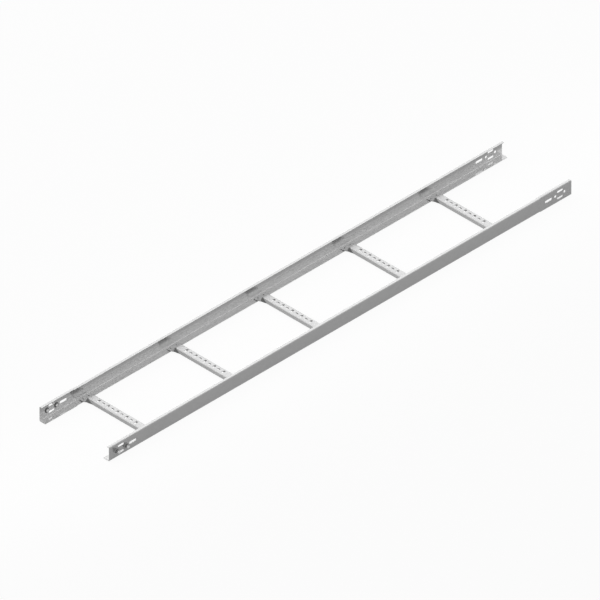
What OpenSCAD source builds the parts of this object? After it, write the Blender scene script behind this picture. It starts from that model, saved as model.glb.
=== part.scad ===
// Straight section of a ladder cable tray: two folded side rails, five pressed rungs and the joint bolts.
// X runs along the rails, Y across the tray and Z up. The section stands on the two socket ends.

/* [Tray] */
// Distance between two rungs, centre to centre
rung_pitch = 375; // [200:5:500]
// From the near end of the rails to the centre of the first rung
near_overhang = 183; // [170:1:300]
// From the centre of the last rung to the far end of the rails
far_overhang = 312; // [170:1:450]
// Width over the outer faces of the side rails
tray_width = 301; // [280:1:600]

/* [Side rails] */
// Height of a side rail along its plain part
rail_height = 50; // [48:1:100]
// Sheet thickness of the side rails
rail_sheet = 1.5; // [1:0.1:2.5]
// Inner radius of the folds of the side rails
rail_fold = 1.5; // [0.5:0.1:2.5]
// Width of the top flange
top_flange = 10; // [8:0.5:20]
// Width of the bottom flange
bottom_flange = 25; // [22:0.5:40]

/* [Socket ends] */
// Length of the spread end that takes the plain end of the next section
socket_length = 135; // [120:1:140]
// Length of the slope between the plain part and the spread end
socket_slope = 3; // [1:0.5:6]
// Play between a socket and the plain end in it, on each flange
socket_play = 0.3; // [0.1:0.1:1]

/* [Joint holes] */
// Diameter of the round joint holes
joint_hole_d = 9; // [8.6:0.1:10]
// From the rail's end to the first round hole
joint_hole_first = 30; // [28:0.5:32]
// Distance between the two round holes
joint_hole_pitch = 40; // [38:0.5:42]
// Width of the long slot
long_slot_width = 9; // [7:0.5:11]
// Length of the long slot
long_slot_length = 30; // [20:0.5:34]
// From the rail's end to the centre of the long slot
long_slot_place = 100; // [98:0.5:102]
// Width of the side slots
side_slot_width = 7; // [5:0.5:9]
// Length of the side slots
side_slot_length = 25; // [15:0.5:40]
// From the rail's end to the centre of the side slots
side_slot_place = 50; // [46:0.5:54]
// Rise of the side slots above and below the row of round holes
side_slot_rise = 12; // [11:0.5:14]

/* [Rungs] */
// Sheet thickness of the rungs
rung_sheet = 1.5; // [1:0.1:2.5]
// Height of a rung over its feet
rung_height = 15.5; // [14:0.1:24]
// Width over the walls of a rung
rung_width = 28.6; // [26:0.2:34]
// Rise of the walls' lower edges above the underside of the feet
wall_rise = 1.8; // [1:0.1:4]
// Inner radius of the folds of the rungs
rung_fold = 2.5; // [1:0.1:3]

/* [Rung holes] */
// Distance between two holes along a rung
perforation_pitch = 20; // [18:0.5:24]
// Width of all holes in a rung
perforation_width = 8; // [6:0.5:9.5]
// Length of the holes that lie across the rung
cross_slot_length = 15.5; // [10:0.5:18]
// Length of the holes that lie along the rung
along_slot_length = 11; // [10:0.5:13]

/* [Rung feet] */
// Width of a foot
foot_width = 49; // [44:0.5:60]
// Gap between the foot's end and the inner face of the rail
foot_gap = 7.5; // [4:0.5:9]
// Length of the foot's parallel part
foot_length = 17; // [15:0.5:20]
// From the foot's end to the rung's end wall
end_wall_place = 26; // [22:0.5:32]
// From the foot's end to the crease between the foot and its wings
wing_start = 2; // [1:0.5:6]
// Rise of a wing's outer edge at the end wall
wing_rise = 2; // [0.5:0.1:2.4]
// Width of a flare, where a wall spreads into the foot
flare_width = 6; // [4:0.5:9]
// Length of a flare along the rung
flare_length = 21.5; // [14:0.5:28]
// Height of a flare at the end wall
flare_height = 15.4; // [9:0.1:16]
// Distance between the two clinch points of a foot
clinch_pitch = 24; // [20:0.5:32]
// From the foot's end to the row of clinch points
clinch_place = 6; // [5:0.5:8]
// Diameter of the clinch buttons
clinch_d = 6; // [5:0.1:7]
// Diameter of the dimple on top of a clinch point
dimple_d = 4; // [3:0.1:4.6]
// Play round a clinch button in the flange
clinch_play = 0.05; // [0.02:0.01:0.1]

/* [Joint bolts] */
// Shank diameter of the bolts
bolt_d = 8; // [7:0.1:8.4]
// Length of a bolt below its head
bolt_length = 16; // [14:0.5:30]
// Chamfer at the end of a bolt
bolt_chamfer = 1; // [0.4:0.1:1.5]
// Diameter of the domed head
head_d = 17; // [14:0.5:20]
// Height of the domed head
head_height = 5; // [4:0.1:7]
// Height of the straight rim under the dome
head_rim = 1.2; // [0.6:0.1:2]
// Width across flats of the nuts
nut_flats = 13; // [12:0.1:15]
// Height of the nuts
nut_height = 8; // [6:0.1:9]
// Diameter of the nut's flange
nut_flange_d = 18; // [16:0.1:20]
// Thickness of the nut's flange
nut_flange = 1.6; // [1:0.1:3]
// Play between the nut's bore and the bolt
thread_play = 0.05; // [0.02:0.01:0.1]

/* [Hidden] */

$fn = 48;
// Overlap that keeps cuts clear of the faces that they pass
past = 1;
// Thickness of the slices that a slope is drawn between
slice = 0.02;
// Overlap of a foot and its wings at the end wall
crease_lap = 0.4;

rung_count = 5;
rung_perforations = 9;
tray_length = near_overhang + (rung_count - 1) * rung_pitch + far_overhang;
socket_step = rail_sheet + socket_play;
hole_row = rail_height / 2;
rung_end = tray_width / 2 - rail_sheet - foot_gap;
rung_wall = rung_end - end_wall_place;
wing_share = 1 - rung_sheet / 2 / flare_length - wing_rise / flare_height;
wing_outer = [foot_width / 2, rung_end - wing_start];
wing_inner = [rung_width / 2, rung_wall - rung_sheet / 2];
wing_root = wing_inner + [flare_width * wing_share, 0];
clinch_y = rung_end - clinch_place;
dome_rise = head_height - head_rim;
dome_r = (pow(head_d / 2, 2) + pow(dome_rise, 2)) / (2 * dome_rise);

function rung_x(i) = -tray_length / 2 + near_overhang + (i - 1) * rung_pitch;
function wing_z(p) = wing_rise * cross(p - wing_inner, wing_outer - wing_inner)
    / cross(wing_root - wing_inner, wing_outer - wing_inner);
function bolt_x(i) = -tray_length / 2 + joint_hole_first + (i - 1) * joint_hole_pitch;

// Draws a profile given in Y and Z along X, from 0 to the length
module along_x(length) {
    rotate([90, 0, 90])
        linear_extrude(length)
            children();
}

// Area of a channel with two round corners on its closed side
module channel_area(start, bottom, top, radius) {
    translate([start + radius, bottom])
        square([bottom_flange - start - radius, top - bottom]);
    translate([start, bottom + radius])
        square([bottom_flange - start, top - bottom - 2 * radius]);
    for (level = [bottom + radius, top - radius])
        translate([start + radius, level])
            circle(r = radius);
}

// Area inside the folds, open towards the tray
module channel_inside(spread) {
    channel_area(rail_sheet, rail_sheet - spread, rail_height - rail_sheet + spread, rail_fold);
    translate([bottom_flange - past, rail_sheet - spread])
        square([2 * past, rail_height - 2 * rail_sheet + 2 * spread]);
}

// Area within the outer faces of a rail
module channel_outside(spread) {
    channel_area(0, -spread, rail_height + spread, rail_fold + rail_sheet);
}

// Area that leaves the top flange shorter than the bottom one
module above_bottom_flange(spread) {
    translate([top_flange, rail_height / 2])
        square([bottom_flange, rail_height / 2 + spread + past]);
}

// Section of a rail, with its flanges moved apart by the spread
module rail_section(spread) {
    difference() {
        channel_outside(spread);
        channel_inside(spread);
        above_bottom_flange(spread);
    }
}

// Slope from the plain section to the spread one
module rail_slope() {
    difference() {
        hull() {
            along_x(slice) channel_outside(0);
            translate([socket_slope - slice, 0, 0]) along_x(slice) channel_outside(socket_step);
        }
        hull() {
            translate([-slice, 0, 0]) along_x(slice) channel_inside(0);
            translate([socket_slope, 0, 0]) along_x(slice) channel_inside(socket_step);
        }
        translate([-past, 0, 0]) along_x(socket_slope + 2 * past) above_bottom_flange(socket_step);
    }
}

// Cut with round ends through a rail's web
module web_slot(x, z, width, length) {
    for (side = [-1, 1])
        translate([x + side * (length - width) / 2, 0, z])
            rotate([90, 0, 0])
                cylinder(d = width, h = 2 * (rail_sheet + past), center = true);
    translate([x - (length - width) / 2, -rail_sheet - past, z - width / 2])
        cube([length - width, 2 * (rail_sheet + past), width]);
}

// Holes of one rail end, measured from that end
module joint_holes() {
    for (i = [0, 1])
        translate([joint_hole_first + i * joint_hole_pitch, 0, hole_row])
            rotate([90, 0, 0])
                cylinder(d = joint_hole_d, h = 2 * (rail_sheet + past), center = true);
    web_slot(long_slot_place, hole_row, long_slot_width, long_slot_length);
    for (side = [-1, 1])
        web_slot(side_slot_place, hole_row + side * side_slot_rise, side_slot_width, side_slot_length);
}

// Rail with its plain end at X = 0 and its web's outer face at Y = 0
module rail_blank() {
    plain_length = tray_length - socket_length - socket_slope;
    difference() {
        union() {
            along_x(plain_length) rail_section(0);
            translate([plain_length, 0, 0]) rail_slope();
            translate([plain_length + socket_slope, 0, 0]) along_x(socket_length) rail_section(socket_step);
        }
        joint_holes();
        translate([tray_length, 0, 0]) mirror([1, 0, 0]) joint_holes();
    }
}

// Row of clinch points along one rail, as the tops of round columns
module clinch_row(side, diameter, bottom, height) {
    for (i = [1 : rung_count])
        for (end = [-1, 1])
            translate([rung_x(i) + end * clinch_pitch / 2, side * clinch_y, bottom])
                cylinder(d = diameter, h = height);
}

module rail(side) {
    color([0.74, 0.75, 0.76])
        difference() {
            rotate([0, 0, side > 0 ? 180 : 0])
                translate([-tray_length / 2, -tray_width / 2, socket_step])
                    rail_blank();
            clinch_row(side, clinch_d + 2 * clinch_play, socket_step - past, rail_sheet + 2 * past);
        }
}

module rail_front() {
    rail(-1);
}

module rail_back() {
    rail(1);
}

// Area with two round upper corners, centred on its width
module arch_area(half, bottom, top, radius) {
    translate([-half, bottom])
        square([2 * half, top - radius - bottom]);
    translate([radius - half, bottom])
        square([2 * (half - radius), top - bottom]);
    for (side = [-1, 1])
        translate([side * (half - radius), top - radius])
            circle(r = radius);
}

// Draws a section given in X and Z along Y, through the whole tray
module along_y() {
    rotate([90, 0, 0])
        linear_extrude(tray_width, center = true)
            children();
}

// Body of a rung up to its end walls, drawn inside its outer faces by the inset, with the flares given to it
module rung_body(inset, bottom) {
    radius = rung_fold + rung_sheet - inset;
    intersection() {
        union() {
            along_y() arch_area(rung_width / 2 - inset, bottom, rung_height - inset, radius);
            at_corners() children();
        }
        rotate([0, 0, 90])
            along_y() arch_area(rung_wall - inset, bottom, rung_height - inset, radius);
    }
}

// Corner beside an end wall, cut off by the flare's slanting face. The corner starts back from the wall's
// outer face, past the end wall and at the low level, and its foot rises outwards by the lift
module flare(inset, back, low, lift) {
    tilt = norm([1 / flare_width, 1 / flare_length, 1 / flare_height]);
    near = inset - past;
    share = 1 - inset * tilt + back / flare_width - near / flare_length - low / flare_height;
    size = share * [flare_width, flare_length, flare_height];
    translate([rung_width / 2 - back, rung_wall - near, low])
        polyhedron(
            points = [
                [0, 0, 0], [size.x - lift * flare_width / flare_height, 0, lift],
                [0, -size.y, 0], [0, 0, size.z]
            ],
            faces = [[0, 2, 1], [0, 3, 2], [0, 1, 3], [1, 2, 3]]
        );
}

// Repeats a shape at the four corners of a rung
module at_corners() {
    for (turn = [0, 1], side = [0, 1])
        mirror([0, turn, 0])
            mirror([side, 0, 0])
                children();
}

// Flat foot that lies on the rail's bottom flange, with its clinch buttons
module foot() {
    inner = wing_inner + [crease_lap, 0];
    linear_extrude(rung_sheet)
        polygon([
            [-foot_width / 2, rung_end], [foot_width / 2, rung_end], wing_outer, inner,
            [-inner.x, inner.y], [-wing_outer.x, wing_outer.y]
        ]);
    for (side = [-1, 1])
        translate([side * clinch_pitch / 2, clinch_y, -rail_sheet])
            cylinder(d = clinch_d, h = rail_sheet + rung_sheet / 2);
}

// Wing beside a foot, which rises from the crease towards the flare
module wing() {
    outline = [wing_outer, wing_inner, wing_root, [foot_width / 2, rung_end - foot_length]];
    polyhedron(
        points = [for (lift = [0, rung_sheet], p = outline) [p.x, p.y, wing_z(p) + lift]],
        faces = [[0, 1, 2, 3], [7, 6, 5, 4], [0, 4, 5, 1], [1, 5, 6, 2], [2, 6, 7, 3], [3, 7, 4, 0]]
    );
}

// Space below the walls' lower edges, from one end wall to the other
module under_walls() {
    inside = rung_wall - rung_sheet;
    translate([-foot_width / 2, -inside, -past])
        cube([foot_width, 2 * inside, wall_rise + past]);
}

// Slot through a rung's top, along Y after the turn
module top_slot(y, turn, length) {
    translate([0, y, rung_height - rung_sheet - past])
        rotate([0, 0, turn]) {
            for (side = [-1, 1])
                translate([0, side * (length - perforation_width) / 2, 0])
                    cylinder(d = perforation_width, h = rung_sheet + 2 * past);
            translate([-perforation_width / 2, -(length - perforation_width) / 2, 0])
                cube([perforation_width, length - perforation_width, rung_sheet + 2 * past]);
        }
}

// Row of holes in a rung's top, lying across it and along it in turn
module perforations() {
    middle = (rung_perforations - 1) / 2;
    for (i = [0 : rung_perforations - 1])
        if (i % 2 == 0)
            top_slot((i - middle) * perforation_pitch, 90, cross_slot_length);
        else
            top_slot((i - middle) * perforation_pitch, 0, along_slot_length);
}

module rung(i) {
    color([0.78, 0.79, 0.80])
        translate([rung_x(i), 0, socket_step + rail_sheet])
            difference() {
                union() {
                    rung_body(0, 0) flare(0, rung_sheet / 3, rung_sheet / 2, wing_rise);
                    at_corners() wing();
                    for (turn = [0, 180])
                        rotate([0, 0, turn])
                            foot();
                }
                rung_body(rung_sheet, -past) flare(rung_sheet, rung_sheet + past, -past, 0);
                under_walls();
                perforations();
                for (turn = [0, 180], side = [-1, 1])
                    rotate([0, 0, turn])
                        translate([side * clinch_pitch / 2, clinch_y, rung_sheet / 2 - rail_sheet])
                            cylinder(d = dimple_d, h = rung_sheet + rail_sheet);
            }
}

// Turns a fastener so that it points out of the rail on one side of the tray
module at_joint(side, i) {
    translate([bolt_x(i), side * (tray_width / 2 - rail_sheet), socket_step + hole_row])
        rotate([side > 0 ? -90 : 90, 0, 0])
            children();
}

// Domed bolt, with the seat of its head at the origin and its shank along +Z
module bolt(side, i) {
    color([0.62, 0.63, 0.65])
        at_joint(side, i) {
            mirror([0, 0, 1])
                intersection() {
                    translate([0, 0, head_height - dome_r]) sphere(r = dome_r);
                    cylinder(d = head_d, h = head_height);
                }
            cylinder(d = bolt_d, h = bolt_length - bolt_chamfer);
            translate([0, 0, bolt_length - bolt_chamfer])
                cylinder(d1 = bolt_d, d2 = bolt_d - 2 * bolt_chamfer, h = bolt_chamfer);
        }
}

// Hexagon nut with a round flange against the rail
module nut(side, i) {
    color([0.66, 0.67, 0.69])
        at_joint(side, i)
            translate([0, 0, rail_sheet])
                difference() {
                    union() {
                        cylinder(d = nut_flange_d, h = nut_flange);
                        cylinder(d = nut_flats / cos(30), h = nut_height, $fn = 6);
                    }
                    translate([0, 0, -past])
                        cylinder(d = bolt_d + 2 * thread_play, h = nut_height + 2 * past);
                }
}

rail_front();
rail_back();
rung(1);  // rung_1
rung(2);  // rung_2
rung(3);  // rung_3
rung(4);  // rung_4
rung(5);  // rung_5
bolt(-1, 1);  // bolt_front_1
bolt(-1, 2);  // bolt_front_2
bolt(1, 1);  // bolt_back_1
bolt(1, 2);  // bolt_back_2
nut(-1, 1);  // nut_front_1
nut(-1, 2);  // nut_front_2
nut(1, 1);  // nut_back_1
nut(1, 2);  // nut_back_2
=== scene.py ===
"""Studio scene for a straight ladder cable tray section in galvanised sheet steel.

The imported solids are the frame, in metres. The side rails and the rungs keep their solids and get a zinc
coating. The joint bolts and their nuts are built again with thread, flats, washer faces and chamfers.
"""

import logging
import math
from dataclasses import dataclass
from enum import Enum
from typing import Callable

import bmesh
import bpy
from mathutils import Matrix, Vector


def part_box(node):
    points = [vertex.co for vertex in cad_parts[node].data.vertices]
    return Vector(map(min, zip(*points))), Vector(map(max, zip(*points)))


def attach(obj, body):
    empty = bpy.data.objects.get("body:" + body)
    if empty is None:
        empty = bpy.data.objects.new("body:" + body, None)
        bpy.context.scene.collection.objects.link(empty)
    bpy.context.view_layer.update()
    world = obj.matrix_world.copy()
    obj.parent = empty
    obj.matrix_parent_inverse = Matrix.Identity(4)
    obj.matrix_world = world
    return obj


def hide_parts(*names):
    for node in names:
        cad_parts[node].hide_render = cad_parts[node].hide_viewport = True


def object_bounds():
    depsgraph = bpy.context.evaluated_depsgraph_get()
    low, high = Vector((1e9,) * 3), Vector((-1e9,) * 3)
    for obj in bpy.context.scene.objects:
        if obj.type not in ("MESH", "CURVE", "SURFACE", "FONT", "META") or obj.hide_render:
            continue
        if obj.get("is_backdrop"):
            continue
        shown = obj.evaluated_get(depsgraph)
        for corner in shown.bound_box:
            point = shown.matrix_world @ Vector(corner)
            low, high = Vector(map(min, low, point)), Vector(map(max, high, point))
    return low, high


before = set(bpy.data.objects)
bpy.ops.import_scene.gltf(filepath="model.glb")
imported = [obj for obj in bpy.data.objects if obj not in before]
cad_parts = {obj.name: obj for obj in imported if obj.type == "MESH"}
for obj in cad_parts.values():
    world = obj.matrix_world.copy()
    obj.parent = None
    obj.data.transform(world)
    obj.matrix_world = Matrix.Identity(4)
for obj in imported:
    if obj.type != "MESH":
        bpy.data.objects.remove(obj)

LOG = logging.getLogger("cable_tray")
BODY = "root"
SHARP_ANGLE = 32


class RollingAxis(Enum):
    """Direction in which the sheet was rolled, as stretch factors of the grain along X, Y and Z."""

    ALONG_RAIL = (0.02, 1.0, 1.0)
    ALONG_RUNG = (1.0, 0.02, 1.0)
    NONE = (1.0, 1.0, 1.0)


class Side(Enum):
    """Side rail, by the sign of its place along Y."""

    FRONT = -1
    BACK = 1


class Course(Enum):
    """Course of a ramp between its two ends."""

    STRAIGHT = "LINEAR"
    SMOOTH = "SMOOTHSTEP"


class Reading(Enum):
    """Vector that a shader reads off the surface: where the point lies, or which way its face looks."""

    PLACE = "Position"
    SLOPE = "True Normal"


class ShaderGraph:
    """Node tree of one material or world, with short calls to add and wire nodes."""

    def __init__(self, owner: bpy.types.Material | bpy.types.World) -> None:
        """Empties the owner's node tree.

        Args:
            owner: Material or world that the nodes belong to.
        """
        owner.use_nodes = True
        self.tree = owner.node_tree
        self.tree.nodes.clear()

    def add(self, kind: str, inputs: dict | None = None, **settings: object) -> bpy.types.Node:
        """Adds a node.

        Args:
            kind: Type name of the node.
            inputs: Socket name or index to a constant, or to the output socket that feeds it.
            **settings: Properties of the node itself.

        Returns:
            The new node.
        """
        node = self.tree.nodes.new(kind)
        for name, value in settings.items():
            setattr(node, name, value)
        for key, value in (inputs or {}).items():
            if isinstance(value, bpy.types.NodeSocket):
                self.tree.links.new(value, node.inputs[key])
            else:
                node.inputs[key].default_value = value
        return node

    def math(self, operation: str, *values: object) -> bpy.types.NodeSocket:
        """Adds a math node for numbers or output sockets and gives its result."""
        node = self.add("ShaderNodeMath", dict(enumerate(values)), operation=operation)
        return node.outputs[0]

    def mix_colours(
        self, factor: bpy.types.NodeSocket, first: object, second: object
    ) -> bpy.types.NodeSocket:
        """Adds a mix of two colours.

        Args:
            factor: Socket with the share of the second colour.
            first: Colour, or a socket that gives one.
            second: Colour, or a socket that gives one.

        Returns:
            The mixed colour's socket.
        """
        factor_in, first_in, second_in, result_out = 0, 6, 7, 2
        inputs = {factor_in: factor, first_in: first, second_in: second}
        return self.add("ShaderNodeMix", inputs, data_type="RGBA").outputs[result_out]

    def ramp(
        self,
        value: bpy.types.NodeSocket,
        start: float = 0.0,
        end: float = 1.0,
        low: float = 0.0,
        high: float = 1.0,
        course: Course = Course.STRAIGHT,
    ) -> bpy.types.NodeSocket:
        """Turns one range of values into another and holds it at both ends.

        Args:
            value: Socket with the value.
            start: Value that gives the low result.
            end: Value that gives the high result.
            low: Result up to the start.
            high: Result from the end on.
            course: Course between the two.

        Returns:
            The result's socket.
        """
        limits = {"From Min": start, "From Max": end, "To Min": low, "To Max": high}
        node = self.add("ShaderNodeMapRange", {"Value": value, **limits}, interpolation_type=course.value)
        return node.outputs[0]

    def weigh(
        self, first: bpy.types.NodeSocket, second: bpy.types.NodeSocket, shares: tuple[float, float]
    ) -> bpy.types.NodeSocket:
        """Adds the given shares of two values."""
        return self.math("MULTIPLY_ADD", first, shares[0], self.math("MULTIPLY", second, shares[1]))

    def surface(self, reading: Reading) -> bpy.types.NodeOutputs:
        """Reads a vector off the surface and gives its outputs X, Y and Z."""
        geometry = self.add("ShaderNodeNewGeometry").outputs
        return self.add("ShaderNodeSeparateXYZ", {0: geometry[reading.value]}).outputs

    def scale(self, colour: bpy.types.NodeSocket, gain: bpy.types.NodeSocket) -> bpy.types.NodeSocket:
        """Multiplies a colour by a gain."""
        node = self.add("ShaderNodeVectorMath", {"Vector": colour, "Scale": gain}, operation="SCALE")
        return node.outputs[0]


@dataclass(frozen=True)
class CoatingGrain:
    """Fine structure that all the coatings share.

    Attributes:
        ragged: Waves of a crystal's border in one crystal width.
        ragged_detail: Levels of detail of those waves.
        cloud_scale: Cloudy patches in a metre.
        cloud_detail: Levels of detail of the patches.
        line_scale: Rolling lines in a metre.
        line_detail: Levels of detail of the lines.
        mottle_shares: Shares of crystals and patches in the greys.
        worn_shares: Shares of lines and greys in the roughness.
        relief_shares: Shares of lines and crystals in the relief.
        edge_samples: Samples of the rounded edges.
        edge_start: Cosine of the turn at which an edge starts to look rubbed.
        edge_full: Cosine of the turn at which it looks fully rubbed.
    """

    ragged: float = 2.5
    ragged_detail: float = 3.0
    cloud_scale: float = 9.0
    cloud_detail: float = 4.0
    line_scale: float = 1400.0
    line_detail: float = 2.0
    mottle_shares: tuple[float, float] = (0.6, 0.4)
    worn_shares: tuple[float, float] = (0.35, 0.65)
    relief_shares: tuple[float, float] = (0.5, 0.5)
    edge_samples: int = 6
    edge_start: float = 0.99
    edge_full: float = 0.8


@dataclass(frozen=True)
class TrayPlaces:
    """Places on the tray where a coating's tone is changed by painted light, painted shade and a painted
    highlight. Lengths are in metres.

    Attributes:
        end_wall: Distance of a rung's end walls from the middle of the tray.
        past_end_wall: Distance just outside the end walls, where the feet start.
        foot_base: Height of the feet's underside.
        flare_length: Length of a flare along the rung.
        flare_height: Height of a flare at the end wall.
        crease_above: Level just above the crease of a flare, where the crease is 1.
        crease_below: Level below which the flare has its full tone.
        wall_start: Sideways slope at which a face starts to count as a wall.
        wall_full: Sideways slope at which it fully counts.
        upright: Largest upward slope of a cut edge.
        inner_start: Slope times distance from the middle at which a web's inner face starts.
        inner_full: Slope times distance from the middle of a full inner face.
        web_low: Height on the web up to which the lower tone reaches.
        web_high: Height on the web from which the upper tone holds.
        gap_reach: How far a gap's other side may be.
        gap_samples: Samples of the gaps.
        gap_deep: Open share of the view deep in a gap.
        gap_open: Open share of the view from which a face counts as open.
        bolt_pair: Place along the tray of the middle between two bolts.
        bolt_step: Distance between two bolts.
        bolt_row: Height of the bolts' axes.
        bolt_rim: Distance from a bolt's axis at which its rim starts.
        bolt_middle: Distance from a bolt's axis up to which its middle reaches.
    """

    end_wall: float = 0.1155
    past_end_wall: float = 0.1157
    foot_base: float = 0.0033
    flare_length: float = 0.0215
    flare_height: float = 0.0154
    crease_above: float = 1.30
    crease_below: float = 1.06
    wall_start: float = 0.2
    wall_full: float = 0.5
    upright: float = 0.35
    inner_start: float = -0.03
    inner_full: float = -0.12
    web_low: float = 0.020
    web_high: float = 0.034
    gap_reach: float = 0.004
    gap_samples: int = 8
    gap_deep: float = 0.20
    gap_open: float = 0.50
    bolt_pair: float = -0.9475
    bolt_step: float = 0.040
    bolt_row: float = 0.0268
    bolt_rim: float = 0.0062
    bolt_middle: float = 0.0042


GRAIN = CoatingGrain()
PLACES = TrayPlaces()


@dataclass(frozen=True)
class ZincFinish:
    """Zinc coating on steel: crystals, cloudy patches, rolling lines and rubbed edges.

    Attributes:
        name: Name of the material.
        tone: Mean grey of the coating, linear.
        metal: Share of the light that is reflected as from bare metal.
        smooth: Roughness of the smoothest patches.
        dull: Roughness of the dullest patches.
        crystal: Mean width of a zinc crystal, in metres.
        contrast: Change of the grey from crystal to crystal, as a share of the tone.
        rolling: Direction of the rolling lines.
        relief: Depth of the surface relief, in metres.
        edge: Radius of the rubbed edges, in metres.
        edge_gain: How much paler a rubbed edge is, as a share of the tone.
        painted_flare_shade: Share of the tone that is left on the flares and cut edges, as painted shade.
        channel_metal: Share of mirrored light on the inner face of a channel's web.
        channel_painted_light: Gain of the tone on that face beside the wide flange, as painted light.
        channel_painted_shade: Gain of the tone on that face below the narrow flange, as painted shade.
        painted_gap_shade_share: Share of the tone that is left deep in a gap, as painted shade.
        crown: Gain of the tone on the middle of a joint bolt, as a painted highlight.
    """

    name: str
    tone: float
    metal: float
    smooth: float
    dull: float
    crystal: float
    contrast: float
    rolling: RollingAxis
    relief: float
    edge: float = 0.0005
    edge_gain: float = 0.12
    painted_flare_shade: float = 1.0
    channel_metal: float | None = None
    channel_painted_light: float = 1.0
    channel_painted_shade: float = 1.0
    painted_gap_shade_share: float = 0.12
    crown: float = 1.0

    def material(self) -> bpy.types.Material:
        """Builds the material.

        Returns:
            A new material with the coating's nodes.
        """
        made = bpy.data.materials.new(self.name)
        graph = ShaderGraph(made)
        crystals = self.crystals(graph)
        clouds = self.clouds(graph)
        lines = self.rolling_lines(graph)
        mottle = graph.weigh(crystals, clouds, GRAIN.mottle_shares)
        bevel = graph.add("ShaderNodeBevel", {"Radius": self.edge}, samples=GRAIN.edge_samples)
        rounded = bevel.outputs["Normal"]
        grey = self.coating_grey(graph, mottle, self.rubbed_edges(graph, rounded))
        # Painted shade: the flares at the rungs' ends and the feet's cut edges get a darker grey.
        if self.painted_flare_shade < 1.0:
            dark = grey_of(self.tone * self.painted_flare_shade)
            grey = graph.mix_colours(self.painted_flare_shade_mask(graph), grey, dark)
        metal = self.metal
        if self.channel_metal is not None:
            inside = self.inside_channel(graph)
            metal = graph.ramp(inside, low=self.metal, high=self.channel_metal)
            # Painted light and shade on the webs' inner faces: lighter low down, darker under the narrow
            # flange.
            grey = graph.scale(grey, self.channel_painted_light_and_shade(graph, inside))
        # Painted shade in narrow gaps, found by ambient occlusion.
        grey = graph.scale(grey, self.gap_painted_shade(graph))
        # Painted highlight on the middle of the joint bolts.
        if self.crown > 1.0:
            grey = graph.scale(grey, self.crown_painted_highlight(graph))
        worn = graph.weigh(lines, mottle, GRAIN.worn_shares)
        relief = graph.weigh(lines, crystals, GRAIN.relief_shares)
        bump = graph.add(
            "ShaderNodeBump",
            {"Strength": 1.0, "Distance": self.relief, "Height": relief, "Normal": rounded},
        )
        shader = graph.add(
            "ShaderNodeBsdfPrincipled",
            {
                "Base Color": grey,
                "Metallic": metal,
                "Roughness": graph.ramp(worn, low=self.smooth, high=self.dull),
                "Normal": bump.outputs["Normal"],
            },
        )
        graph.add("ShaderNodeOutputMaterial", {"Surface": shader.outputs["BSDF"]})
        return made

    def crystals(self, graph: ShaderGraph) -> bpy.types.NodeSocket:
        """Adds the zinc crystals, cells with ragged borders.

        Args:
            graph: Graph of the material.

        Returns:
            A socket with one value from 0 to 1 for each crystal.
        """
        place = graph.add("ShaderNodeTexCoord").outputs["Object"]
        ragged = graph.add(
            "ShaderNodeTexNoise",
            {"Vector": place, "Scale": GRAIN.ragged / self.crystal, "Detail": GRAIN.ragged_detail},
        )
        shift = graph.add(
            "ShaderNodeVectorMath",
            {0: ragged.outputs["Color"], 1: (self.crystal,) * 3, 2: place},
            operation="MULTIPLY_ADD",
        )
        cells = graph.add(
            "ShaderNodeTexVoronoi", {"Vector": shift.outputs[0], "Scale": 1 / self.crystal}
        )
        return graph.add("ShaderNodeSeparateColor", {"Color": cells.outputs["Color"]}).outputs["Red"]

    def clouds(self, graph: ShaderGraph) -> bpy.types.NodeSocket:
        """Adds the slow change of the coating over a hand's width.

        Args:
            graph: Graph of the material.

        Returns:
            A socket with values from 0 to 1.
        """
        place = graph.add("ShaderNodeTexCoord").outputs["Object"]
        noise = graph.add(
            "ShaderNodeTexNoise",
            {"Vector": place, "Scale": GRAIN.cloud_scale, "Detail": GRAIN.cloud_detail},
        )
        return noise.outputs["Fac"]

    def rolling_lines(self, graph: ShaderGraph) -> bpy.types.NodeSocket:
        """Adds the fine lines that the rolls left in the sheet.

        Args:
            graph: Graph of the material.

        Returns:
            A socket with values from 0 to 1.
        """
        place = graph.add("ShaderNodeTexCoord").outputs["Object"]
        drawn = graph.add("ShaderNodeMapping", {"Vector": place, "Scale": self.rolling.value})
        noise = graph.add(
            "ShaderNodeTexNoise",
            {"Vector": drawn.outputs[0], "Scale": GRAIN.line_scale, "Detail": GRAIN.line_detail},
        )
        return noise.outputs["Fac"]

    def rubbed_edges(self, graph: ShaderGraph, rounded: bpy.types.NodeSocket) -> bpy.types.NodeSocket:
        """Finds the edges from the turn between the face and its rounded normal.

        Args:
            graph: Graph of the material.
            rounded: Normal of the rounded surface.

        Returns:
            A socket with 1 at an edge and 0 on a face.
        """
        face = graph.add("ShaderNodeNewGeometry").outputs["Normal"]
        turn = graph.add("ShaderNodeVectorMath", {0: rounded, 1: face}, operation="DOT_PRODUCT")
        return graph.ramp(turn.outputs["Value"], GRAIN.edge_start, GRAIN.edge_full)

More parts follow.
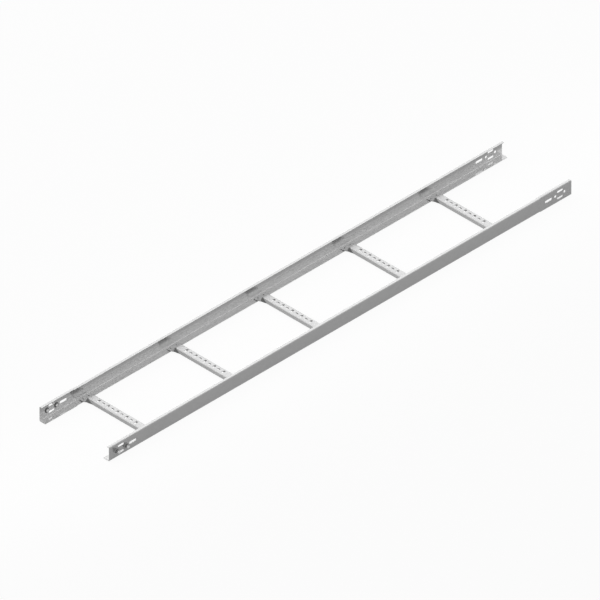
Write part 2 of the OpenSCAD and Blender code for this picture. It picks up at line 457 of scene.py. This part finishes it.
    def painted_flare_shade_mask(self, graph: ShaderGraph) -> bpy.types.NodeSocket:
        """Finds where shade is painted: the flares at the rungs' ends, below the crease along the wall, and
        the feet's cut edges.

        Args:
            graph: Graph of the material.

        Returns:
            A socket with 1 on the flares of both walls and on the cut edges, and 0 elsewhere.
        """
        at = PLACES
        place, slope = graph.surface(Reading.PLACE), graph.surface(Reading.SLOPE)
        from_middle = graph.math("ABSOLUTE", place["Y"])
        along = graph.math(
            "MULTIPLY_ADD", from_middle, -1 / at.flare_length, at.end_wall / at.flare_length
        )
        crease = graph.math(
            "MULTIPLY_ADD", place["Z"], 1 / at.flare_height, -at.foot_base / at.flare_height
        )
        below = graph.ramp(graph.math("ADD", along, crease), at.crease_above, at.crease_below)
        sideways = graph.ramp(graph.math("ABSOLUTE", slope["X"]), at.wall_start, at.wall_full)
        wall = graph.math("MULTIPLY", sideways, graph.math("LESS_THAN", from_middle, at.past_end_wall))
        flares = graph.math("MULTIPLY", wall, below)
        upright = graph.math("LESS_THAN", graph.math("ABSOLUTE", slope["Z"]), at.upright)
        outside = graph.math("GREATER_THAN", from_middle, at.past_end_wall)
        return graph.math("MAXIMUM", flares, graph.math("MULTIPLY", upright, outside))

    def inside_channel(self, graph: ShaderGraph) -> bpy.types.NodeSocket:
        """Finds the webs' inner faces, which look towards the middle of the tray.

        Args:
            graph: Graph of the material.

        Returns:
            A socket with 1 on an inner face and 0 elsewhere.
        """
        place, slope = graph.surface(Reading.PLACE), graph.surface(Reading.SLOPE)
        outwards = graph.math("MULTIPLY", slope["Y"], place["Y"])
        return graph.ramp(outwards, PLACES.inner_start, PLACES.inner_full)

    def channel_painted_light_and_shade(self, graph: ShaderGraph, inside: bpy.types.NodeSocket) -> bpy.types.NodeSocket:
        """Paints light and shade on the webs' inner faces: painted light below, beside the wide flange, and
        painted shade under the narrow flange.

        Args:
            graph: Graph of the material.
            inside: 1 on an inner face and 0 elsewhere.

        Returns:
            A socket with the gain of the tone, 1 outside the channel.
        """
        place = graph.surface(Reading.PLACE)
        gain = graph.ramp(
            place["Z"],
            PLACES.web_low,
            PLACES.web_high,
            self.channel_painted_light - 1,
            self.channel_painted_shade - 1,
            course=Course.SMOOTH,
        )
        return graph.math("MULTIPLY_ADD", inside, gain, 1.0)

    def gap_painted_shade(self, graph: ShaderGraph) -> bpy.types.NodeSocket:
        """Finds narrow gaps and paints shade into them, drawing the coating darker there.

        Args:
            graph: Graph of the material.

        Returns:
            A socket with the share of the tone that is left, 1 on open faces.
        """
        shelter = graph.add(
            "ShaderNodeAmbientOcclusion", {"Distance": PLACES.gap_reach}, samples=PLACES.gap_samples
        )
        return graph.ramp(shelter.outputs["AO"], PLACES.gap_deep, PLACES.gap_open, low=self.painted_gap_shade_share)

    def crown_painted_highlight(self, graph: ShaderGraph) -> bpy.types.NodeSocket:
        """Finds the middle of the joint bolts and paints a highlight there, lighter than their rims.

        Args:
            graph: Graph of the material.

        Returns:
            A socket with the gain of the tone, 1 away from the middle.
        """
        place = graph.surface(Reading.PLACE)
        from_pair = graph.math("ABSOLUTE", graph.math("ADD", place["X"], -PLACES.bolt_pair))
        across = graph.math("SUBTRACT", from_pair, PLACES.bolt_step / 2)
        above = graph.math("SUBTRACT", place["Z"], PLACES.bolt_row)
        squared = graph.math("MULTIPLY_ADD", across, across, graph.math("MULTIPLY", above, above))
        from_axis = graph.math("SQRT", squared)
        return graph.ramp(from_axis, PLACES.bolt_rim, PLACES.bolt_middle, low=1.0, high=self.crown)

    def coating_grey(
        self, graph: ShaderGraph, mottle: bpy.types.NodeSocket, edges: bpy.types.NodeSocket
    ) -> bpy.types.NodeSocket:
        """Mixes the greys of the crystals and of the rubbed edges.

        Args:
            graph: Graph of the material.
            mottle: Values from 0 to 1 over the coating.
            edges: 1 at a rubbed edge and 0 on a face.

        Returns:
            The colour's socket.
        """
        dark = grey_of(self.tone * (1 - self.contrast))
        pale = grey_of(self.tone * (1 + self.contrast))
        rubbed = grey_of(self.tone * (1 + self.edge_gain))
        return graph.mix_colours(edges, graph.mix_colours(mottle, dark, pale), rubbed)


def grey_of(level: float) -> tuple[float, float, float, float]:
    """Gives the zinc's neutral grey at a linear level."""
    return (level, level, level, 1.0)


RAIL_ZINC = ZincFinish(
    name="rail_zinc",
    tone=0.68,
    metal=0.18,
    smooth=0.09,
    dull=0.11,
    crystal=0.012,
    contrast=0.035,
    rolling=RollingAxis.ALONG_RAIL,
    relief=0.000001,
    channel_metal=0.27,
    # painted light low on the webs' inner faces, painted shade under the narrow flange
    channel_painted_light=1.28,
    channel_painted_shade=0.73,
)
RUNG_ZINC = ZincFinish(
    name="rung_zinc",
    tone=0.645,
    metal=0.18,
    smooth=0.24,
    dull=0.40,
    crystal=0.010,
    contrast=0.03,
    rolling=RollingAxis.ALONG_RUNG,
    relief=0.00003,
    # painted shade on the flares and the feet's cut edges
    painted_flare_shade=0.30,
)
BOLT_ZINC = ZincFinish(
    name="bolt_zinc",
    tone=0.10,
    metal=0.85,
    smooth=0.16,
    dull=0.30,
    crystal=0.002,
    contrast=0.08,
    rolling=RollingAxis.NONE,
    relief=0.00001,
    edge=0.0002,
    # painted highlight on the middle of the head
    crown=6.0,
)
NUT_ZINC = ZincFinish(
    name="nut_zinc",
    tone=0.24,
    metal=0.80,
    smooth=0.20,
    dull=0.36,
    crystal=0.002,
    contrast=0.08,
    rolling=RollingAxis.NONE,
    relief=0.00001,
    edge=0.0002,
)


def turned_mesh(name: str, rings: list[list[Vector]]) -> bpy.types.Mesh:
    """Joins rings of points into a closed skin, with a flat cap on the first and last ring.

    Args:
        name: Name of the mesh.
        rings: Rings with the same number of points, in order along the axis.

    Returns:
        The new mesh, with smooth faces and sharp edges at its corners.
    """
    skin = bmesh.new()
    laid = [[skin.verts.new(point) for point in ring] for ring in rings]
    count = len(rings[0])
    for low, high in zip(laid, laid[1:]):
        for i in range(count):
            j = (i + 1) % count
            skin.faces.new((low[i], low[j], high[j], high[i]))
    skin.faces.new(reversed(laid[0]))
    skin.faces.new(laid[-1])
    bmesh.ops.recalc_face_normals(skin, faces=skin.faces)
    mesh = bpy.data.meshes.new(name)
    skin.to_mesh(mesh)
    skin.free()
    mesh.shade_smooth()
    mesh.set_sharp_from_angle(angle=math.radians(SHARP_ANGLE))
    return mesh


def ring_at(height: float, radius: Callable[[float], float], points: int) -> list[Vector]:
    """Lays points round the Z axis at a height, each at the radius that its angle in radians gives."""
    angles = (2 * math.pi * i / points for i in range(points))
    return [Vector((radius(a) * math.cos(a), radius(a) * math.sin(a), height)) for a in angles]


def round_ring(height: float, radius: float, points: int) -> list[Vector]:
    """Lays a plain circle of points round the Z axis."""
    return ring_at(height, lambda angle: radius, points)


@dataclass
class SideRails:
    """The two folded side rails, which keep their solids."""

    nodes: tuple[str, ...] = ("rail_front", "rail_back")
    finish: ZincFinish = RAIL_ZINC

    def dress(self) -> None:
        """Puts the coating on both rails."""
        dress_nodes(self.nodes, self.finish)


@dataclass
class Rungs:
    """The rungs, formed in a press, which keep their solids."""

    prefix: str = "rung_"
    finish: ZincFinish = RUNG_ZINC

    def dress(self) -> None:
        """Puts the coating on every rung."""
        dress_nodes(sorted(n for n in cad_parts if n.startswith(self.prefix)), self.finish)


def dress_nodes(nodes: tuple[str, ...] | list[str], finish: ZincFinish) -> None:
    """Gives solids of the frame one finish.

    Args:
        nodes: Names of the solids.
        finish: Finish that they get.
    """
    coat = finish.material()
    for name in nodes:
        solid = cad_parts[name]
        if not solid.material_slots:
            solid.data.materials.append(coat)
        for place in solid.material_slots:
            place.material = coat
        LOG.info("%s: solid kept, finish %s", name, finish.name)


@dataclass
class JointFasteners:
    """The joint bolts and flange nuts of the near end.

    Sizes are in metres. A fastener is built along +Z from the seat of the bolt's head on the inside of the
    web, then turned so that Z points out of the tray.

    Attributes:
        web_sheet: Thickness of the rail's web between head and nut.
        thread_d: Outer diameter of the thread.
        pitch: Rise of the thread in one turn.
        thread_depth: Depth of the thread.
        chamfer: Chamfer at the end of the bolt.
        head_rim: Height of the straight rim under the dome.
        flats: Width of the nut across its flats.
        flange_rim: Height of the straight rim of the nut's flange.
        flange_height: Height at which the flange's cone meets the flats.
        flats_step: Step between the flange's cone and the flats.
        face_share: Radius of the nut's round outer face, as a share of half the flats' width.
        corner_slope: Slope of the chamfer at the nut's corners, in degrees.
        bore_bevel: Widening of the nut's bore at its outer face.
        flank_gain: Steepness of the thread's flanks.
        crest_flat: Flat share of the thread's crest.
        points: Points of a ring.
        rings_per_turn: Rings of the thread in one turn.
        dome_rings: Rings of the dome.
    """

    web_sheet: float = 0.0015
    thread_d: float = 0.008
    pitch: float = 0.00125
    thread_depth: float = 0.00068
    chamfer: float = 0.0010
    head_rim: float = 0.0012
    flats: float = 0.013
    flange_rim: float = 0.0010
    flange_height: float = 0.0026
    flats_step: float = 0.0001
    face_share: float = 0.97
    corner_slope: float = 30.0
    bore_bevel: float = 0.0006
    flank_gain: float = 1.25
    crest_flat: float = 0.1
    points: int = 72
    rings_per_turn: int = 12
    dome_rings: int = 12

    def build(self) -> None:
        """Builds every bolt and nut in the place of its solid."""
        bolt_coat, nut_coat = BOLT_ZINC.material(), NUT_ZINC.material()
        for side in Side:
            for number in (1, 2):
                suffix = f"{side.name.lower()}_{number}"
                self.place(f"bolt_{suffix}", side, self.bolt_rings, bolt_coat, "bolt_zinc")
                self.place(f"nut_{suffix}", side, self.nut_rings, nut_coat, "nut_zinc")

    def place(
        self,
        node: str,
        side: Side,
        rings: Callable[[str, Side], list[list[Vector]]],
        coat: bpy.types.Material,
        slot: str,
    ) -> None:
        """Makes one fastener and sets it where its solid is.

        Args:
            node: Name of the solid.
            side: Rail that it sits on.
            rings: Method that gives the fastener's rings.
            coat: Finish of the fastener.
            slot: Material slot of the record; not used.
        """
        name = f"{node}_detailed"
        mesh = turned_mesh(name, rings(node, side))
        low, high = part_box(node)
        middle = (low + high) / 2
        turn = Matrix.Rotation(-side.value * math.pi / 2, 4, "X")
        mesh.transform(Matrix.Translation((middle.x, 0, middle.z)) @ turn)
        mesh.materials.append(coat)
        piece = bpy.data.objects.new(name, mesh)
        bpy.context.scene.collection.objects.link(piece)
        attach(piece, BODY)
        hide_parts(node)
        LOG.info("%s: %d faces in place of %s", name, len(mesh.polygons), node)

    def reach(self, node: str) -> tuple[float, float, float]:
        """Measures a solid along the way out of the tray.

        Args:
            node: Name of the solid.

        Returns:
            Its nearest and farthest distance from the middle of the tray, and its radius.
        """
        low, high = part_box(node)
        ends = sorted((abs(low.y), abs(high.y)))
        return ends[0], ends[1], (high.x - low.x) / 2

    def bolt_rings(self, node: str, side: Side) -> list[list[Vector]]:
        """Lays out a bolt with a domed head and a cut thread.

        Args:
            node: Name of the bolt's solid.
            side: Rail that it sits on.

        Returns:
            Rings from the crown of the head to the end of the thread.
        """
        crown, tip, head_r = self.reach(node)
        seat = self.head_seat(side)
        dome = seat - crown - self.head_rim
        dome_r = (head_r**2 + dome**2) / (2 * dome)
        half_angle = math.asin(head_r / dome_r)
        rings = []
        for i in range(1, self.dome_rings + 1):
            angle = half_angle * i / self.dome_rings
            height = crown + dome_r * (1 - math.cos(angle))
            rings.append(round_ring(height, dome_r * math.sin(angle), self.points))
        rings.append(round_ring(seat, head_r, self.points))
        rings.append(round_ring(seat, self.thread_d / 2 - self.thread_depth, self.points))
        return rings + self.thread_rings(seat, tip)

    def head_seat(self, side: Side) -> float:
        """Gives the distance of the heads' seat, the inside of the web, from the middle of the tray."""
        nut_seat, _, _ = self.reach(f"nut_{side.name.lower()}_1")
        return nut_seat - self.web_sheet

    def thread_rings(self, start: float, tip: float) -> list[list[Vector]]:
        """Lays out a thread that runs out in the chamfer at the bolt's end.

        Args:
            start: Place where the thread starts.
            tip: Place of the bolt's end.

        Returns:
            Rings of the thread.
        """
        outer = self.thread_d / 2
        steps = round((tip - start) / self.pitch * self.rings_per_turn)
        rings = []
        for step in range(1, steps + 1):
            height = start + (tip - start) * step / steps
            chamfered = outer - max(0.0, height - (tip - self.chamfer))

            def radius(angle: float, at: float = height, most: float = chamfered) -> float:
                """Gives the radius of the thread at an angle."""
                phase = (at / self.pitch - angle / (2 * math.pi)) % 1.0
                flank = min(1.0, max(0.0, self.flank_gain * abs(2 * phase - 1) - self.crest_flat))
                return min(most, outer - self.thread_depth * flank)

            rings.append(ring_at(height, radius, self.points))
        return rings

    def nut_rings(self, node: str, side: Side) -> list[list[Vector]]:
        """Lays out a hexagon nut with a coned flange, a chamfered outer face and its bore.

        Args:
            node: Name of the nut's solid.
            side: Rail that it sits on; not used.

        Returns:
            Rings from the flange's seat over the outside to the bottom of the bore.
        """
        seat, face, flange_r = self.reach(node)
        face_r = self.flats / 2 * self.face_share
        bore_r = self.thread_d / 2
        corner_fall = math.tan(math.radians(self.corner_slope))

        def hexagon(angle: float) -> float:
            """Gives the radius of the flats at an angle."""
            sixth = math.pi / 3
            return self.flats / 2 / math.cos((angle + sixth / 2) % sixth - sixth / 2)

        outline = [
            round_ring(seat, flange_r, self.points),
            round_ring(seat + self.flange_rim, flange_r, self.points),
            ring_at(seat + self.flange_height, lambda angle: hexagon(angle) + self.flats_step, self.points),
            ring_at(seat + self.flange_height + self.flats_step, hexagon, self.points),
        ]
        shoulder = ring_at(face, hexagon, self.points)
        for point in shoulder:
            point.z -= (point.to_2d().length - face_r) * corner_fall
        outline.append(shoulder)
        outline.append(round_ring(face, face_r, self.points))
        outline.append(round_ring(face, bore_r + self.bore_bevel, self.points))
        outline.append(round_ring(face - self.bore_bevel, bore_r, self.points))
        return outline


@dataclass(frozen=True)
class SoftBox:
    """A flat studio lamp that hangs over the tray.

    Attributes:
        name: Name of the lamp.
        place: Place of the lamp's middle, in metres.
        aim: Point that the lamp faces, in metres.
        length: Length of the lit face along the tray, in metres.
        width: Width of the lit face, in metres.
        radiance: Brightness of the lit face, where 1 is white.
        mirrored: Whether its lit face shows in the zinc.
    """

    name: str
    place: tuple[float, float, float]
    aim: tuple[float, float, float]
    length: float
    width: float
    radiance: float
    mirrored: bool = True

    def hang(self) -> None:
        """Adds the lamp to the scene, with its long side along X."""
        light = bpy.data.lights.new(self.name, "AREA")
        light.shape = "RECTANGLE"
        light.size = self.length
        light.size_y = self.width
        light.energy = self.radiance * math.pi * self.length * self.width
        lamp = bpy.data.objects.new(self.name, light)
        away = (Vector(self.place) - Vector(self.aim)).normalized()
        along = Vector((1, 0, 0))
        across = away.cross(along).normalized()
        turn = Matrix((across.cross(away), across, away)).transposed()
        lamp.matrix_world = Matrix.Translation(self.place) @ turn.to_4x4()
        lamp.visible_camera = False
        lamp.visible_glossy = self.mirrored
        bpy.context.scene.collection.objects.link(lamp)
        LOG.info("%s: lit face %.1f by %.1f m", self.name, self.length, self.width)


@dataclass
class Studio:
    """Floor, surrounding white and lamps.

    Attributes:
        floor_width: Side of the floor, in metres.
        floor_bounce: Grey of the floor for the light that it throws back on the tray.
        shadow_share: Share of the floor's white that the lamps give, which the tray's shadow takes away.
        fill: Brightness of the fill light from all round.
        lamps: Soft boxes.
    """

    floor_width: float = 60.0
    floor_bounce: float = 0.25
    shadow_share: float = 0.07
    fill: float = 0.20
    lamps: tuple[SoftBox, ...] = (
        SoftBox("back_box", place=(0, 4.2, 4.2), aim=(0, 0, 0), length=20.0, width=5.0, radiance=1.07),
        SoftBox("top_box", place=(0, 0, 5.0), aim=(0, 0, 0), length=5.0, width=5.0, radiance=0.5),
        SoftBox(
            "strip_box",
            place=(0, -0.15, 0.42),
            aim=(0, 0.14, 0.02),
            length=3.4,
            width=0.25,
            radiance=1.00,
            mirrored=False,
        ),
    )

    def build(self) -> None:
        """Adds floor, surroundings and lamps."""
        self.lay_floor()
        self.surround()
        for lamp in self.lamps:
            lamp.hang()

    def lay_floor(self) -> None:
        """Lays a pale floor under the tray."""
        half = self.floor_width / 2
        mesh = bpy.data.meshes.new("studio_floor")
        corners = [(-half, -half, 0), (half, -half, 0), (half, half, 0), (-half, half, 0)]
        mesh.from_pydata(corners, [], [(0, 1, 2, 3)])
        mesh.materials.append(self.floor_paint())
        floor = bpy.data.objects.new("studio_floor", mesh)
        bpy.context.scene.collection.objects.link(floor)
        floor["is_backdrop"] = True
        LOG.info("studio_floor: %.0f m square", self.floor_width)

    def floor_paint(self) -> bpy.types.Material:
        """Builds the floor's white, which keeps the tray's shadow.

        Returns:
            The floor's material.
        """
        paint = bpy.data.materials.new("floor_white")
        paint.cycles.emission_sampling = "NONE"
        graph = ShaderGraph(paint)
        white = graph.add("ShaderNodeEmission", {"Color": (1, 1, 1, 1), "Strength": 1.0})
        lit = graph.add("ShaderNodeBsdfDiffuse", {"Color": (1, 1, 1, 1)})
        bounce = graph.add("ShaderNodeBsdfDiffuse", {"Color": (*[self.floor_bounce] * 3, 1)})
        seen = graph.add(
            "ShaderNodeMixShader", {0: self.shadow_share, 1: white.outputs[0], 2: lit.outputs[0]}
        )
        mixed = graph.add(
            "ShaderNodeMixShader", {0: self.seen_rays(graph), 1: bounce.outputs[0], 2: seen.outputs[0]}
        )
        graph.add("ShaderNodeOutputMaterial", {"Surface": mixed.outputs[0]})
        return paint

    def surround(self) -> None:
        """Sets the white that is seen all round and the dimmer fill light."""
        world = bpy.data.worlds.new("studio_white")
        world.cycles.sampling_method = "NONE"
        graph = ShaderGraph(world)
        fill = graph.add("ShaderNodeBackground", {"Color": (1, 1, 1, 1), "Strength": self.fill})
        white = graph.add("ShaderNodeBackground", {"Color": (1, 1, 1, 1), "Strength": 1.0})
        mixed = graph.add(
            "ShaderNodeMixShader", {0: self.seen_rays(graph), 1: fill.outputs[0], 2: white.outputs[0]}
        )
        graph.add("ShaderNodeOutputWorld", {"Surface": mixed.outputs[0]})
        bpy.context.scene.world = world

    def seen_rays(self, graph: ShaderGraph) -> bpy.types.NodeSocket:
        """Tells the rays that show the background from those that carry its light.

        Args:
            graph: Graph of the floor or of the surroundings.

        Returns:
            A socket with 1 for camera, mirror and see-through rays and 0 for the rest.
        """
        path = graph.add("ShaderNodeLightPath").outputs
        mirrored = graph.math("MAXIMUM", path["Is Glossy Ray"], path["Is Transmission Ray"])
        return graph.math("MAXIMUM", path["Is Camera Ray"], mirrored)


@dataclass(frozen=True)
class PhotoCamera:
    """Camera at the photograph's viewing angle, with a very long lens for its parallel lines.

    Attributes:
        azimuth: Turn round the tray, in degrees.
        elevation: Height above the horizon, in degrees.
        lens: Focal length, in millimetres.
        sensor: Width of the sensor, in millimetres.
        distance: Distance from the aim, in metres.
        aim_right: Shift of the aim to the right of the tray's middle, in metres.
        aim_up: Shift of the aim up from the tray's middle, in metres.
    """

    azimuth: float = -45.0
    elevation: float = 35.261
    lens: float = 1650.0
    sensor: float = 36.0
    distance: float = 83.93
    aim_right: float = -0.0213
    aim_up: float = -0.0001

    def set_up(self, middle: Vector) -> None:
        """Adds the camera and makes it the scene's own.

        Args:
            middle: Middle of the tray.
        """
        a, e = math.radians(self.azimuth), math.radians(self.elevation)
        back = Vector((math.sin(a) * math.cos(e), -math.cos(a) * math.cos(e), math.sin(e)))
        turn = back.to_track_quat("Z", "Y")
        right, up = turn @ Vector((1, 0, 0)), turn @ Vector((0, 1, 0))
        lens = bpy.data.cameras.new("photo_camera")
        lens.lens = self.lens
        lens.sensor_width = self.sensor
        lens.clip_end = self.distance * 2
        camera = bpy.data.objects.new("photo_camera", lens)
        camera.location = middle + right * self.aim_right + up * self.aim_up + back * self.distance
        camera.rotation_euler = turn.to_euler()
        bpy.context.scene.collection.objects.link(camera)
        bpy.context.scene.camera = camera
        LOG.info("photo_camera: %.0f mm lens", self.lens)


def main() -> None:
    """Builds the studio and dresses the tray."""
    logging.basicConfig(level=logging.INFO, format="%(name)s %(message)s")
    cad_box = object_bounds()
    middle = (cad_box[0] + cad_box[1]) / 2
    bpy.context.scene.view_settings.view_transform = "Standard"
    PhotoCamera().set_up(middle)
    Studio().build()
    SideRails().dress()
    Rungs().dress()
    JointFasteners().build()


if __name__ == "__main__":
    main()
